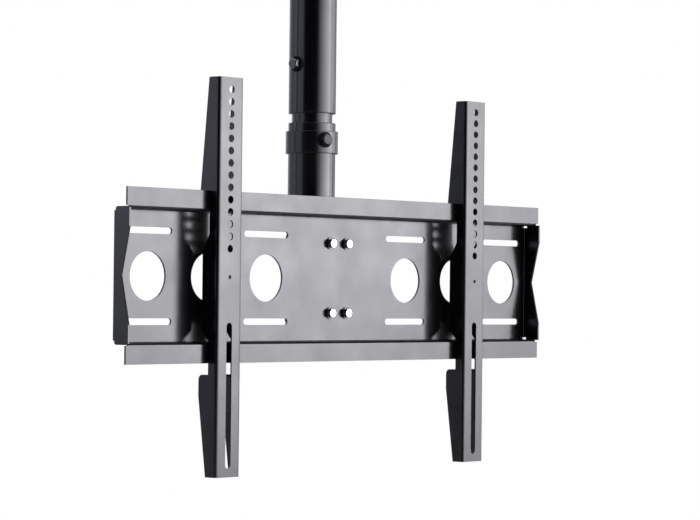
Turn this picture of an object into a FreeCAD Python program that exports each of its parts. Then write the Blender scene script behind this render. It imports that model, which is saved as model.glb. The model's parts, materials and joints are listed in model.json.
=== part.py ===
import FreeCAD, Part
import math
import os
import Sketcher
from FreeCAD import Placement, Rotation
from FreeCAD import Vector as V

# A pole mount that hangs a flat screen from a ceiling.
# Frame: +Z up, -Y towards the viewer of the screen, +X to the viewer's right.
# Origin: the middle of the face that lies on the ceiling, on the axis of the pole.
# Lengths are millimetres, angles are degrees.

SIZES = (
    # Ceiling plate, welded on top of the pole
    ("ceiling_side", 160, "side of the square ceiling plate"),
    ("ceiling_thickness", 4, "sheet of the ceiling plate"),
    ("ceiling_corner", 12, "corner radius of the ceiling plate"),
    ("ceiling_spacing", 120, "spacing of the four ceiling screw holes, both ways"),
    ("ceiling_hole", 10, "ceiling screw hole"),
    ("cable_hole", 44, "cable hole in the ceiling plate"),
    # Pole
    ("tube_diameter", 60, "upper and lower tube, outside"),
    ("tube_wall", 2, "wall of the upper and lower tube"),
    ("upper_tube_length", 326, "upper tube, from the ceiling plate to its mouth"),
    ("neck_gap", 12.3, "drop tube left bare between the upper and the lower tube"),
    ("lower_tube_length", 217.7, "lower tube, from its top end to its foot"),
    ("drop_diameter", 51.5, "drop tube, outside"),
    ("drop_wall", 2, "wall of the drop tube"),
    ("drop_cover", 230, "drop tube hidden in the upper tube at rest"),
    ("bush_length", 40, "guide bush in the mouth of the upper tube"),
    ("glide_length", 20, "glide ring on the top end of the drop tube"),
    ("swivel_bush_length", 46, "swivel bush in the lower tube"),
    ("retainer_height", 5, "ring under the swivel bush that carries the load"),
    ("drop_tail", 4, "drop tube below the retaining ring"),
    ("collar_rise", 10.7, "lower tube standing above the collar"),
    ("collar_height", 28, "clamp collar"),
    ("collar_diameter", 66.4, "clamp collar, outside"),
    # Lock bolts of the pole
    ("boss_diameter", 20, "round boss under a lock bolt"),
    ("boss_height", 1.2, "boss above the tube that carries it"),
    ("lock_flats", 13, "lock bolt head across its flats"),
    ("lock_head", 7.6, "lock bolt head height"),
    ("lock_face", 11, "flat end face of a lock bolt head, inside its bevel"),
    ("lock_shank", 8, "lock bolt shank"),
    ("height_lock_rise", 61.5, "height lock bolt above the mouth of the upper tube"),
    ("swivel_lock_drop", 11.4, "swivel lock bolt below the top edge of the collar"),
    ("swivel_lock_turn", 18, "swivel lock bolt, turned from the front towards the left"),
    # Tilt joint
    ("tube_tail", 44, "lower tube below the tilt pivot"),
    ("pivot_rise", 24, "tilt pivot above the middle of the mounting plate"),
    ("pivot_bolt", 10, "tilt pivot bolt shank"),
    ("pivot_flats", 16, "pivot bolt head and nut across their flats"),
    ("pivot_head", 6.4, "pivot bolt head height"),
    ("pivot_nut", 8, "pivot nut height"),
    ("tilt_lock_radius", 32, "tilt lock bolt below the pivot"),
    ("tilt_bolt", 8, "tilt lock bolt shank"),
    ("bolt_flats", 13, "8 mm bolt head and nut across their flats"),
    ("bolt_head", 5.3, "8 mm bolt head height"),
    ("bolt_nut", 6.5, "8 mm nut height"),
    ("tilt_forward", 15, "tilt of the screen's top edge towards the viewer"),
    ("tilt_back", 5, "tilt of the screen's top edge away from the viewer"),
    ("tilt_washer", 20, "washers of the tilt joint, outside"),
    ("tilt_washer_thickness", 2, "washers of the tilt joint"),
    # Tilt bracket
    ("bracket_sheet", 3, "sheet of the tilt bracket"),
    ("bracket_bend", 1.5, "inner bend radius of the tilt bracket"),
    ("bracket_height", 120, "tilt bracket height"),
    ("bracket_reach", 44.2, "tube axis to the bracket face that lies on the mounting plate"),
    ("ear_behind", 12.5, "ear behind the tube axis"),
    ("ear_corner", 10, "corner radius of the ears"),
    ("ear_gap", 0.5, "gap between ear and tube, each side"),
    # Mounting plate
    ("sheet", 2.5, "sheet of the mounting plate"),
    ("plate_bend", 0.8, "inner bend radius of the mounting plate"),
    ("plate_half", 385, "half the width of the mounting plate"),
    ("web_half", 77.2, "half the height of the recessed web between the ledges"),
    ("web_depth", 21.3, "web behind the front of the lips"),
    ("rail_half", 102, "half the height over both lips"),
    ("wing_depth", 24.6, "end wing in front of the web"),
    ("wing_gap", 2.5, "gap between the end of a wing and the lip beyond it"),
    ("notch_depth", 13, "depth of the V in the front edge of the wing"),
    ("notch_half", 56.5, "half the height of that V"),
    ("relief", 4, "corner relief beside each wing bend"),
    ("relief_height", 3.2, "height of the corner relief, from the end of the wing"),
    ("window_diameter", 58, "round windows in the web"),
    ("window_first", 131, "innermost windows from the middle"),
    ("window_pitch", 100, "pitch of the windows"),
    ("slot_length", 78, "long slots of the web, over their round ends"),
    ("slot_width", 8, "width of the long slots"),
    ("slot_rise", 53.2, "long slots above and below the middle"),
    ("bolt_spacing", 30, "plate bolts, across"),
    ("bolt_rise", 87.2, "plate bolts, one above the other"),
    ("bolt_lift", 1.2, "middle of the plate bolts above the middle of the plate"),
    ("bolt_shank", 6, "plate bolt shank"),
    ("plate_bolt_flats", 10, "plate bolt head and nut across their flats"),
    ("plate_bolt_head", 4, "plate bolt head height"),
    ("plate_bolt_nut", 5, "plate bolt nut height"),
    ("plate_bolt_length", 16, "plate bolt under its head"),
    ("plate_washer", 15, "flat washer, outside"),
    ("plate_washer_thickness", 1.2, "flat washer"),
    ("spring_washer", 11.8, "spring washer, outside"),
    ("spring_washer_thickness", 1.5, "spring washer"),
    # Screen arms
    ("arm_length", 473, "screen arm"),
    ("arm_width", 42, "screen arm, over its flanges"),
    ("arm_sheet", 2, "sheet of the arms"),
    ("arm_bend", 2.4, "inner bend radius of the arms"),
    ("arm_place", 230.5, "arms from the middle at rest"),
    ("arm_stand", 14, "arm face in front of the lips"),
    ("flange_end", 17, "flange depth at the arm's ends"),
    ("flange_full", 29.6, "flange depth at the hook and at the lower catch"),
    ("flange_deep", 25, "flange depth in the recess of the plate"),
    ("hook_drop", 18, "hook tab behind the top lip"),
    ("hook_room", 0.7, "room behind the lip in the hook"),
    ("deep_top", 30.5, "top of the deep part above the middle"),
    ("deep_bottom", 63.5, "bottom of the deep part below the middle"),
    ("deep_slope", 20, "height of the slope at the top of the deep part"),
    ("deep_slope_low", 12.5, "height of the slope at the bottom of the deep part"),
    ("catch_drop", 115.6, "lower catch below the middle"),
    ("catch_height", 25, "straight part of the lower catch"),
    ("catch_corner", 6, "corner radius of the lower catch and of the hook tab"),
    ("catch_lip_depth", 12.5, "lip of the catch, along the flange"),
    ("screen_hole", 9, "screen bolt holes of the arms"),
    ("screen_hole_count", 14, "screen bolt holes in one arm"),
    ("screen_hole_pitch", 14.5, "pitch of the screen bolt holes"),
    ("screen_hole_first", 33.6, "lowest screen bolt hole above the middle"),
    ("pin_hole", 4.5, "small hole at the middle of the arm"),
    ("screen_slot_top", 54, "top of the long screen slot below the middle"),
    ("screen_slot_length", 172.4, "long screen slot, over its round ends"),
    # Clearances
    ("running_fit", 0.1, "radial gap between turning or sliding round pieces"),
    ("press_gap", 0.05, "radial gap between round pieces that stay together"),
    ("seat_gap", 0.1, "gap between flat faces that slide on each other"),
    ("hole_room", 0.4, "radial room of a bolt in a plain hole"),
    ("tip_gap", 0.3, "gap between the tip of a lock bolt and the drop tube"),
)

doc = FreeCAD.newDocument("television_ceiling_mount")
sheet = doc.addObject("Spreadsheet::Sheet", "Sizes")
for row, (alias, number, note) in enumerate(SIZES, start=1):
    sheet.set(f"A{row}", note)
    sheet.set(f"B{row}", str(number))
    sheet.setAlias(f"B{row}", alias)
doc.recompute()


class Size:
    """A length that knows its value now and the sheet expression that gives it."""

    def __init__(self, value, text):
        self.value = float(value)
        self.text = text

    def __add__(self, other):
        other = as_size(other)
        return Size(self.value + other.value, f"({self.text} + {other.text})")

    def __sub__(self, other):
        other = as_size(other)
        return Size(self.value - other.value, f"({self.text} - {other.text})")

    def __mul__(self, factor):
        return Size(self.value * factor, f"({self.text} * {factor!r})")

    def __truediv__(self, divisor):
        return Size(self.value / divisor, f"({self.text} / {divisor!r})")

    def __neg__(self):
        return Size(-self.value, f"(0 - {self.text})")


def as_size(number):
    """A plain number as a Size, and a Size as it is."""
    return number if isinstance(number, Size) else Size(number, repr(float(number)))


def size(alias):
    """The Size of one named cell of the sheet."""
    return Size(sheet.get(alias), f"Sizes.{alias}")


def point(x, y):
    """One corner of a profile, as a pair of Sizes."""
    return as_size(x), as_size(y)


# Places that several pieces share
TUBE_RADIUS = size("tube_diameter") / 2
TUBE_BORE = TUBE_RADIUS - size("tube_wall")
DROP_RADIUS = size("drop_diameter") / 2
DROP_BORE = DROP_RADIUS - size("drop_wall")
COLLAR_RADIUS = size("collar_diameter") / 2
MOUTH_Z = -(size("ceiling_thickness") + size("upper_tube_length"))
HEAD_TOP_Z = MOUTH_Z - size("neck_gap")
HEAD_FOOT_Z = HEAD_TOP_Z - size("lower_tube_length")
COLLAR_TOP_Z = HEAD_TOP_Z - size("collar_rise")
COLLAR_FOOT_Z = COLLAR_TOP_Z - size("collar_height")
DROP_TOP_Z = MOUTH_Z + size("drop_cover")
SWIVEL_BUSH_FOOT_Z = HEAD_TOP_Z - size("swivel_bush_length")
RETAINER_TOP_Z = SWIVEL_BUSH_FOOT_Z - size("seat_gap")
DROP_FOOT_Z = RETAINER_TOP_Z - size("retainer_height") - size("drop_tail")
HEIGHT_LOCK_Z = MOUTH_Z + size("height_lock_rise")
SWIVEL_LOCK_Z = COLLAR_TOP_Z - size("swivel_lock_drop")
PIVOT_Z = HEAD_FOOT_Z + size("tube_tail")
TILT_LOCK_Z = PIVOT_Z - size("tilt_lock_radius")
PLATE_Z = PIVOT_Z - size("pivot_rise")
WEB_Y = -(size("bracket_reach") + size("sheet"))
LIP_Y = WEB_Y - size("web_depth")
ARM_Y = LIP_Y - size("arm_stand")
EAR_OUTER = TUBE_RADIUS + size("ear_gap") + size("bracket_sheet")
OUT_LEFT = Rotation(V(0, 0, 1), V(-1, 0, 0))
OUT_FRONT = Rotation(V(0, 0, 1), V(0, -1, 0))
swivel_angle = math.radians(-90 - size("swivel_lock_turn").value)
SWIVEL_LOCK_WAY = V(math.cos(swivel_angle), math.sin(swivel_angle), 0)
OUT_SWIVEL = Rotation(V(0, 0, 1), SWIVEL_LOCK_WAY)
TOLERANCE = 1e-4
HEX_CONE_FACE = 0.95
HEX_CONE_OUTER = 0.62
HEX_CONE_SLOPE = math.tan(math.radians(30))
LOCK_CONE_SLOPE = math.tan(math.radians(50))
BOLT_TURNS = (30, 16, 24, 38)
TIP_BEVEL = 0.1
CUT_PAST = 1


def bind(thing, path, value):
    """Tie one property of an object to its sheet expression."""
    thing.setExpression(path, as_size(value).text)


def new_body(label, x=0, y=0, z=0, turn=Rotation()):
    """An empty body with its label, turned and placed."""
    body = doc.addObject("PartDesign::Body", label)
    body.Label = label
    body.Placement = Placement(V(as_size(x).value, as_size(y).value, as_size(z).value), turn)
    for letter, value in (("x", x), ("y", y), ("z", z)):
        bind(body, f"Placement.Base.{letter}", value)
    return body


def new_sketch(body, role, offset=0, turn=Rotation()):
    """A sketch on one of the body's own origin planes, moved along its normal and turned."""
    sketch = body.newObject("Sketcher::SketchObject", f"{body.Label}_profile")
    plane = [item for item in body.Origin.OriginFeatures if item.Role == role][0]
    sketch.AttachmentSupport = [(plane, "")]
    sketch.MapMode = "FlatFace"
    sketch.AttachmentOffset = Placement(V(0, 0, as_size(offset).value), turn)
    bind(sketch, "AttachmentOffset.Base.z", offset)
    return sketch


def hold(sketch, kind, *where_and_value):
    """A dimension in a sketch, tied to its expression."""
    *where, value = where_and_value
    value = as_size(value)
    index = sketch.addConstraint(Sketcher.Constraint(kind, *where, value.value))
    sketch.setExpression(f"Constraints[{index}]", value.text)


def draw_polygon(sketch, corners):
    """A closed outline of straight lines, each corner held by two dimensions."""
    first = sketch.GeometryCount
    count = len(corners)
    for index, (x, y) in enumerate(corners):
        next_x, next_y = corners[(index + 1) % count]
        start = V(x.value, y.value, 0)
        end = V(next_x.value, next_y.value, 0)
        sketch.addGeometry(Part.LineSegment(start, end), False)
    for index, (x, y) in enumerate(corners):
        line = first + index
        following = first + (index + 1) % count
        sketch.addConstraint(Sketcher.Constraint("Coincident", line, 2, following, 1))
        hold(sketch, "DistanceX", -1, 1, line, 1, x)
        hold(sketch, "DistanceY", -1, 1, line, 1, y)


def draw_rectangle(sketch, left, right, low, high):
    """A rectangle between two places across and two places up."""
    draw_polygon(sketch, [(left, low), (right, low), (right, high), (left, high)])


def draw_circle(sketch, x, y, radius):
    """A circle with its centre and its radius held."""
    x, y, radius = as_size(x), as_size(y), as_size(radius)
    circle = Part.Circle(V(x.value, y.value, 0), V(0, 0, 1), radius.value)
    index = sketch.addGeometry(circle, False)
    hold(sketch, "DistanceX", -1, 1, index, 3, x)
    hold(sketch, "DistanceY", -1, 1, index, 3, y)
    hold(sketch, "Radius", index, radius)


def draw_slot(sketch, x, y, length, width, upright=False):
    """A slot with round ends: two half circles joined by two lines tangent to both."""
    x, y = as_size(x), as_size(y)
    radius = width / 2
    reach = length / 2 - radius
    along = V(0, 1, 0) if upright else V(1, 0, 0)
    start_angle = 0 if upright else -math.pi / 2
    middle = V(x.value, y.value, 0)
    side = V(along.y, -along.x, 0) * radius.value
    far = middle + along * reach.value
    near = middle - along * reach.value
    circles = [Part.Circle(centre, V(0, 0, 1), radius.value) for centre in (far, near)]
    far_arc = Part.ArcOfCircle(circles[0], start_angle, start_angle + math.pi)
    near_arc = Part.ArcOfCircle(circles[1], start_angle + math.pi, start_angle + 2 * math.pi)
    far_index = sketch.addGeometry(far_arc, False)
    near_index = sketch.addGeometry(near_arc, False)
    left = sketch.addGeometry(Part.LineSegment(far - side, near - side), False)
    right = sketch.addGeometry(Part.LineSegment(near + side, far + side), False)
    sketch.addConstraint(Sketcher.Constraint("Tangent", far_index, 2, left, 1))
    sketch.addConstraint(Sketcher.Constraint("Tangent", left, 2, near_index, 1))
    sketch.addConstraint(Sketcher.Constraint("Tangent", near_index, 2, right, 1))
    sketch.addConstraint(Sketcher.Constraint("Tangent", right, 2, far_index, 1))
    for index, sign in ((far_index, 1), (near_index, -1)):
        hold(sketch, "DistanceX", -1, 1, index, 3, x if upright else x + reach * sign)
        hold(sketch, "DistanceY", -1, 1, index, 3, y + reach * sign if upright else y)
    hold(sketch, "Radius", far_index, radius)


def pad(body, sketch, length, both_sides=False, backwards=False):
    """Thicken a sketch into the body."""
    feature = body.newObject("PartDesign::Pad", f"{body.Label}_pad")
    feature.Profile = sketch
    feature.Midplane = both_sides
    feature.Reversed = backwards
    bind(feature, "Length", length)
    sketch.Visibility = False
    doc.recompute()
    return feature


def pocket(body, sketch, length=None, both_sides=True, backwards=False):
    """Cut a sketch out of the body, right through where no length is given."""
    before = body.Shape.Volume
    feature = body.newObject("PartDesign::Pocket", f"{body.Label}_cut")
    feature.Profile = sketch
    feature.Midplane = both_sides
    feature.Reversed = backwards
    if length is None:
        feature.Type = "ThroughAll"
    else:
        bind(feature, "Length", length)
    sketch.Visibility = False
    doc.recompute()
    if body.Shape.Volume > before - TOLERANCE:
        raise RuntimeError(f"{feature.Label} cuts nothing")
    return feature


def groove(body, sketch, axis, angle=360):
    """Cut a sketch out of the body while it turns about one axis of the sketch."""
    before = body.Shape.Volume
    feature = body.newObject("PartDesign::Groove", f"{body.Label}_turned_cut")
    feature.Profile = sketch
    feature.ReferenceAxis = (sketch, [axis])
    bind(feature, "Angle", angle)
    sketch.Visibility = False
    doc.recompute()
    if body.Shape.Volume > before - TOLERANCE:
        raise RuntimeError(f"{feature.Label} cuts nothing")
    return feature


def edges_along(body, way, places):
    """Names of the straight edges along X, Y or Z whose two other coordinates match a place."""
    names = []
    others = [index for index in range(3) if index != "XYZ".index(way)]
    for number, edge in enumerate(body.Tip.Shape.Edges, start=1):
        ends = [vertex.Point for vertex in edge.Vertexes]
        if len(ends) != 2 or not isinstance(edge.Curve, Part.Line):
            continue
        for place in places:
            gaps = [abs(end[others[0]] - place[0].value) for end in ends]
            gaps += [abs(end[others[1]] - place[1].value) for end in ends]
            if max(gaps) < TOLERANCE:
                names.append(f"Edge{number}")
                break
    return names


def round_edges(body, way, places, radius):
    """Fillet the straight edges that run along one axis at the given places."""
    names = edges_along(body, way, [point(*place) for place in places])
    if len(names) < len(places):
        raise RuntimeError(f"{body.Label}: {len(names)} edges found for {len(places)} places")
    base = body.Tip
    feature = body.newObject("PartDesign::Fillet", f"{body.Label}_bend")
    feature.Base = (base, names)
    bind(feature, "Radius", radius)
    doc.recompute()
    return feature


def tube(label, outer, inner, foot, length, x=0, y=0):
    """A round tube or ring that stands upright on foot."""
    body = new_body(label, x, y, foot)
    sketch = new_sketch(body, "XY_Plane")
    draw_circle(sketch, 0, 0, outer)
    draw_circle(sketch, 0, 0, inner)
    pad(body, sketch, length)
    return body


def drill_radially(body, height, radius, turn, reach):
    """A round hole through one wall of an upright tube, turn degrees left of the front."""
    sketch = new_sketch(body, "XZ_Plane", turn=Rotation(V(0, 1, 0), -turn))
    draw_circle(sketch, 0, height, radius)
    pocket(body, sketch, reach, both_sides=False, backwards=True)


def hexagon(flats):
    """The six corners of a hexagon that is flats wide across its flats, two flats upright."""
    radius = flats / math.sqrt(3)
    angles = [math.radians(30 + 60 * step) for step in range(6)]
    return [(radius * math.cos(angle), radius * math.sin(angle)) for angle in angles]


def chamfer_hexagon(body, flats, top, way, face, slope=HEX_CONE_SLOPE):
    """Turn the corners of a hexagon down to a cone round a flat face of a given width."""
    sketch = new_sketch(body, "XZ_Plane")
    inner = face / 2
    outer = flats * HEX_CONE_OUTER
    fall = (outer - inner) * (slope * way)
    draw_polygon(sketch, [(inner, top), (outer, top), (outer, top - fall)])
    groove(body, sketch, "V_Axis")


def hex_bolt(label, flats, head, shank, length, place, turn, face=None, slope=HEX_CONE_SLOPE):
    """A hexagon bolt: head outwards along its local +Z, shank inwards from the head's seat."""
    body = new_body(label, *place, turn)
    sketch = new_sketch(body, "XY_Plane")
    draw_polygon(sketch, hexagon(flats))
    pad(body, sketch, head)
    chamfer_hexagon(body, flats, head, 1, face or flats * HEX_CONE_FACE, slope)
    sketch = new_sketch(body, "XY_Plane")
    draw_circle(sketch, 0, 0, shank / 2)
    pad(body, sketch, length, backwards=True)
    sketch = new_sketch(body, "XZ_Plane")
    rim = shank / 2
    bevel = shank * TIP_BEVEL
    draw_polygon(sketch, [(rim - bevel, -length), (rim, -length), (rim, bevel - length)])
    groove(body, sketch, "V_Axis")
    return body


def hex_nut(label, flats, height, bore, place, turn):
    """A hexagon nut that stands on its seat along its local +Z, both ends chamfered."""
    body = new_body(label, *place, turn)
    sketch = new_sketch(body, "XY_Plane")
    draw_polygon(sketch, hexagon(flats))
    draw_circle(sketch, 0, 0, bore / 2)
    pad(body, sketch, height)
    chamfer_hexagon(body, flats, height, 1, flats * HEX_CONE_FACE)
    chamfer_hexagon(body, flats, as_size(0), -1, flats * HEX_CONE_FACE)
    return body


def washer(label, outer, inner, thickness, place, turn):
    """A flat washer that lies on its seat along its local +Z."""
    body = new_body(label, *place, turn)
    sketch = new_sketch(body, "XY_Plane")
    draw_circle(sketch, 0, 0, outer / 2)
    draw_circle(sketch, 0, 0, inner / 2)
    pad(body, sketch, thickness)
    return body


def spring_washer(label, outer, inner, thickness, place, turn):
    """A washer split by a narrow gap on one side."""
    body = washer(label, outer, inner, thickness, place, turn)
    sketch = new_sketch(body, "XY_Plane")
    half_gap = thickness / 4
    middle = as_size(0)
    draw_polygon(sketch, [(-half_gap, middle), (half_gap, middle), (half_gap, outer), (-half_gap, outer)])
    pocket(body, sketch, thickness * 2)
    return body


def group(label, members):
    """Several separate equal pieces as one node."""
    compound = doc.addObject("Part::Compound", label)
    compound.Label = label
    compound.Links = members
    return compound


def make_ceiling_plate():
    """A square steel plate with rounded corners, four screw holes and a cable hole."""
    half = size("ceiling_side") / 2
    body = new_body("ceiling_plate", z=-size("ceiling_thickness"))
    sketch = new_sketch(body, "XY_Plane")
    draw_rectangle(sketch, -half, half, -half, half)
    pad(body, sketch, size("ceiling_thickness"))
    corners = [(half * x, half * y) for x in (-1, 1) for y in (-1, 1)]
    round_edges(body, "Z", corners, size("ceiling_corner"))
    sketch = new_sketch(body, "XY_Plane")
    draw_circle(sketch, 0, 0, size("cable_hole") / 2)
    reach = size("ceiling_spacing") / 2
    for x in (-1, 1):
        for y in (-1, 1):
            draw_circle(sketch, reach * x, reach * y, size("ceiling_hole") / 2)
    pocket(body, sketch)
    return body


def make_upper_tube():
    """The fixed outer tube of the pole, drilled for the height lock bolt."""
    body = tube("upper_tube", TUBE_RADIUS, TUBE_BORE, MOUTH_Z, size("upper_tube_length"))
    bolt_radius = size("lock_shank") / 2 + size("hole_room")
    drill_radially(body, size("height_lock_rise"), bolt_radius, 90, TUBE_RADIUS * 2)
    return body


def make_guide_bush():
    """A plastic bush in the mouth of the upper tube, in which the drop tube slides."""
    outer = TUBE_BORE - size("press_gap")
    inner = DROP_RADIUS + size("running_fit")
    return tube("guide_bush", outer, inner, MOUTH_Z, size("bush_length"))


def make_drop_tube():
    """The inner tube that slides in the upper tube and carries the swivelling head."""
    return tube("drop_tube", DROP_RADIUS, DROP_BORE, DROP_FOOT_Z, DROP_TOP_Z - DROP_FOOT_Z)


def make_glide_ring():
    """A plastic ring on the top end of the drop tube that steadies it in the upper tube."""
    outer = TUBE_BORE - size("running_fit")
    inner = DROP_RADIUS + size("press_gap")
    return tube("glide_ring", outer, inner, DROP_TOP_Z - size("glide_length"), size("glide_length"))


def make_retaining_ring():
    """A steel ring on the foot of the drop tube, on which the swivel bush rests."""
    outer = TUBE_BORE - size("running_fit")
    inner = DROP_RADIUS + size("press_gap")
    height = size("retainer_height")
    return tube("retaining_ring", outer, inner, RETAINER_TOP_Z - height, height)


def make_swivel_bush():
    """A plastic bush in the top of the lower tube, which turns on the drop tube."""
    outer = TUBE_BORE - size("press_gap")
    inner = DROP_RADIUS + size("running_fit")
    body = tube("swivel_bush", outer, inner, SWIVEL_BUSH_FOOT_Z, size("swivel_bush_length"))
    bolt_radius = size("lock_shank") / 2 + size("hole_room")
    height = SWIVEL_LOCK_Z - SWIVEL_BUSH_FOOT_Z
    drill_radially(body, height, bolt_radius, size("swivel_lock_turn").value, TUBE_RADIUS * 2)
    return body


def make_lower_tube():
    """The swivelling tube, drilled for the swivel lock, the tilt pivot and the tilt lock."""
    body = tube("lower_tube", TUBE_RADIUS, TUBE_BORE, HEAD_FOOT_Z, size("lower_tube_length"))
    bolt_radius = size("lock_shank") / 2 + size("hole_room")
    height = SWIVEL_LOCK_Z - HEAD_FOOT_Z
    drill_radially(body, height, bolt_radius, size("swivel_lock_turn").value, TUBE_RADIUS * 2)
    sketch = new_sketch(body, "YZ_Plane")
    draw_circle(sketch, 0, PIVOT_Z - HEAD_FOOT_Z, size("pivot_bolt") / 2 + size("running_fit"))
    draw_circle(sketch, 0, TILT_LOCK_Z - HEAD_FOOT_Z, size("tilt_bolt") / 2 + size("running_fit"))
    pocket(body, sketch)
    return body


def make_collar():
    """The clamp collar round the lower tube, drilled for the swivel lock bolt."""
    inner = TUBE_RADIUS + size("press_gap")
    body = tube("swivel_collar", COLLAR_RADIUS, inner, COLLAR_FOOT_Z, size("collar_height"))
    bolt_radius = size("lock_shank") / 2 + size("hole_room")
    height = SWIVEL_LOCK_Z - COLLAR_FOOT_Z
    drill_radially(body, height, bolt_radius, size("swivel_lock_turn").value, COLLAR_RADIUS * 2)
    return body


def make_boss(label, seat_radius, height, turn):
    """A round boss with a threaded bore, its foot hollowed to lie on a tube of seat_radius."""
    disc = doc.addObject("Part::Cylinder", f"{label}_disc")
    core = doc.addObject("Part::Cylinder", f"{label}_seat")
    bore = doc.addObject("Part::Cylinder", f"{label}_bore")
    reach = seat_radius + size("boss_height")
    tall = size("boss_diameter") * 2
    bind(disc, "Radius", size("boss_diameter") / 2)
    bind(disc, "Height", reach)
    bind(bore, "Radius", size("lock_shank") / 2 + size("press_gap"))
    bind(bore, "Height", reach * 2)
    bind(core, "Radius", seat_radius + size("press_gap"))
    bind(core, "Height", tall)
    disc.Placement = Placement(V(0, 0, height.value), turn)
    bore.Placement = Placement(V(0, 0, height.value), turn)
    core.Placement = Placement(V(0, 0, (height - tall / 2).value), Rotation())
    bind(disc, "Placement.Base.z", height)
    bind(bore, "Placement.Base.z", height)
    bind(core, "Placement.Base.z", height - tall / 2)
    hollowed = doc.addObject("Part::Cut", f"{label}_hollowed")
    hollowed.Base = disc
    hollowed.Tool = core
    boss = doc.addObject("Part::Cut", label)
    boss.Label = label
    boss.Base = hollowed
    boss.Tool = bore
    return boss


def make_lock_bolt(label, seat_radius, height, way, turn):
    """A lock bolt screwed through its boss until its tip nearly bears on the drop tube."""
    head_radius = seat_radius + size("boss_height")
    length = head_radius - DROP_RADIUS - size("tip_gap")
    place = (head_radius * way.x, head_radius * way.y, height)
    return hex_bolt(label, size("lock_flats"), size("lock_head"), size("lock_shank"), length, place, turn,
                    size("lock_face"), LOCK_CONE_SLOPE)


def make_tilt_bracket():
    """A folded U that holds the lower tube between its ears, with arc slots for the tilt lock."""
    thick = size("bracket_sheet")
    inner = EAR_OUTER - thick
    front = -size("bracket_reach")
    back = size("ear_behind")
    body = new_body("tilt_bracket", z=PIVOT_Z)
    sketch = new_sketch(body, "XY_Plane", offset=-size("pivot_rise"))
    corners = [
        (-EAR_OUTER, front), (EAR_OUTER, front), (EAR_OUTER, back), (inner, back),
        (inner, front + thick), (-inner, front + thick), (-inner, back), (-EAR_OUTER, back),
    ]
    draw_polygon(sketch, corners)
    pad(body, sketch, size("bracket_height"), both_sides=True)
    round_edges(body, "Z", [(inner, front + thick), (-inner, front + thick)], size("bracket_bend"))
    round_edges(body, "Z", [(EAR_OUTER, front), (-EAR_OUTER, front)], size("bracket_bend") + thick)
    top = size("bracket_height") / 2 - size("pivot_rise")
    foot = -(size("bracket_height") / 2 + size("pivot_rise"))
    round_edges(body, "X", [(back, top), (back, foot)], size("ear_corner"))

    sketch = new_sketch(body, "YZ_Plane")
    draw_circle(sketch, 0, 0, size("pivot_bolt") / 2 + size("running_fit"))
    pocket(body, sketch)

    # The arc slot is a band turned about the pivot, closed by a round hole at each end
    slot_half = size("tilt_bolt") / 2 + size("hole_room")
    radius = size("tilt_lock_radius")
    swing = size("tilt_forward") + size("tilt_back")
    for end in (-size("tilt_back").value, size("tilt_forward").value):
        angle = math.radians(end)
        sketch = new_sketch(body, "YZ_Plane")
        draw_circle(sketch, radius * -math.sin(angle), radius * -math.cos(angle), slot_half)
        pocket(body, sketch)
    start = Rotation(V(1, 0, 0), -size("tilt_forward").value)
    sketch = new_sketch(body, "XZ_Plane", turn=start)
    low, high = -radius - slot_half, slot_half - radius
    beyond = EAR_OUTER + thick
    draw_rectangle(sketch, -beyond, beyond, low, high)
    groove(body, sketch, "H_Axis", swing)

    sketch = new_sketch(body, "XZ_Plane", offset=size("bracket_reach") - thick / 2)
    for x, z in plate_bolt_places():
        draw_circle(sketch, x, z - size("pivot_rise"), size("bolt_shank") / 2 + size("hole_room"))
    pocket(body, sketch, thick * 2)
    return body


def plate_bolt_places():
    """The four plate bolts, across and up from the middle of the mounting plate."""
    across = size("bolt_spacing") / 2
    up = size("bolt_rise") / 2
    lift = size("bolt_lift")
    return [(across * x, lift + up * z) for z in (1, -1) for x in (-1, 1)]


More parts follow.
